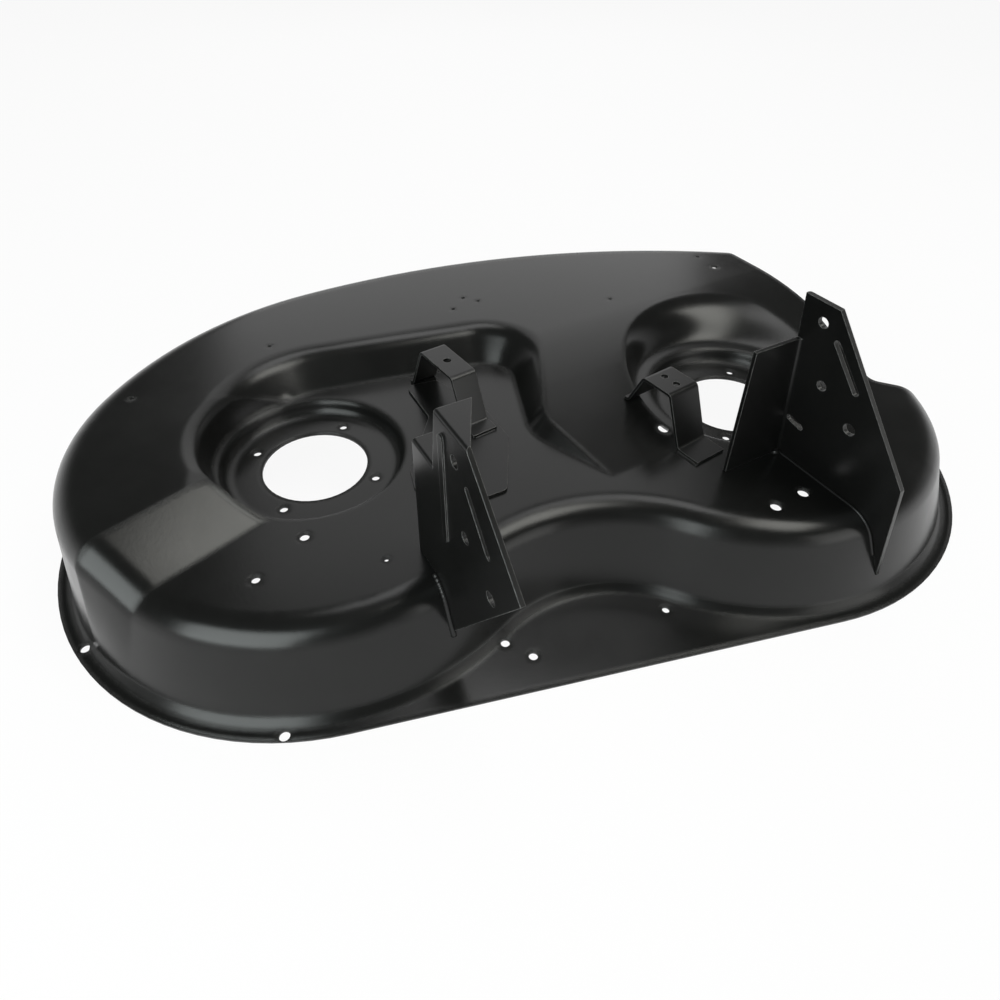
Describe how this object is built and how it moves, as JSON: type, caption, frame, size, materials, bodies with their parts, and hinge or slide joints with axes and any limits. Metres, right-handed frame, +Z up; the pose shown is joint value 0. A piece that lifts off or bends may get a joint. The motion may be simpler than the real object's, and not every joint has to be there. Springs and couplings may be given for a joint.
{
  "type": "lawn mower deck",
  "caption": "Pressed steel mower deck shell with twin mandrel seats, side discharge, rolled flange, welded suspension hangers and belt saddles.",
  "frame": {"origin": "middle of the box round the whole deck, on the floor that the flange stands on", "axes": "+X to the right along the spindle line, towards the discharge; +Y to the front of the deck; +Z up"},
  "size_m": [1.0175, 0.7042, 0.2767],
  "materials": {
    "black_coat": "satin black powder coat"
  },
  "bodies": {
    "root": {"deck_shell": "black_coat", "doubler_plate": "black_coat", "left_hanger_bracket": "black_coat", "right_hanger_bracket": "black_coat", "left_saddle_bracket": "black_coat", "right_saddle_bracket": "black_coat"}
  },
  "joints": []
}
